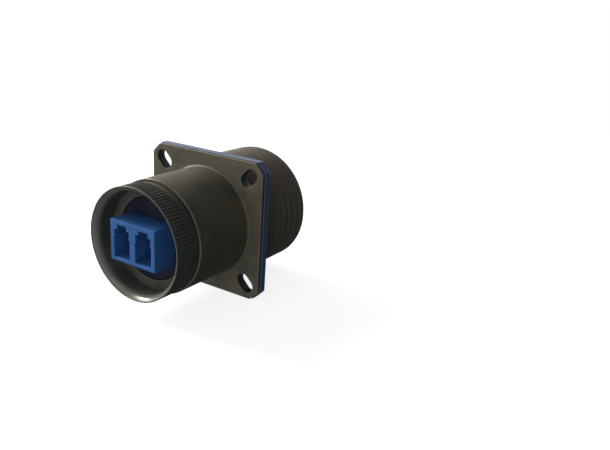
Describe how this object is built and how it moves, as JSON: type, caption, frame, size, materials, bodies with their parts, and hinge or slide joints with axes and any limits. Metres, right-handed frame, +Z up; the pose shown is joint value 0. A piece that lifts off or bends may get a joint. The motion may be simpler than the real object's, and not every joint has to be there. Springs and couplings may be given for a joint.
{
  "type": "fibre optic bulkhead adapter",
  "caption": "Square-flanged circular bulkhead receptacle holding a fibre port adapter, with a knurled back nut on the equipment side and a keyed coupling barrel on the mating side.",
  "frame": {"origin": "on the axis of the shell, in the plane where the flange gasket meets the panel", "axes": "+Y along the axis towards the coupling barrel on the mating side, +Z up with the latch side of the ports and the master keyway, +X to the right when looking into the knurled end"},
  "size_m": [0.0338, 0.0456, 0.0338],
  "materials": {
    "olive_plating": "satin olive drab plating",
    "blue_gasket": "matt blue elastomer",
    "black_rubber": "matt black",
    "black_resin": "matt black resin",
    "blue_resin": "fine matt blue resin",
    "white_ceramic": "polished zirconia"
  },
  "bodies": {
    "receptacle": {"receptacle_shell": "olive_plating", "flange_gasket": "blue_gasket", "nut_seal": "black_rubber", "carrier_upper": "black_resin", "carrier_lower": "black_resin", "adapter_near_half": "blue_resin", "adapter_far_half": "blue_resin", "sleeve_holder_near": "blue_resin", "sleeve_holder_far": "blue_resin", "alignment_sleeve_left": "white_ceramic", "alignment_sleeve_right": "white_ceramic"},
    "nut": {"back_nut": "olive_plating"}
  },
  "joints": [
    {"name": "nut_turn", "type": "hinge", "parent": "receptacle", "child": "nut", "pos_m": [0, -0.0195, 0], "axis": [0, 1, 0], "continuous": true}
  ]
}
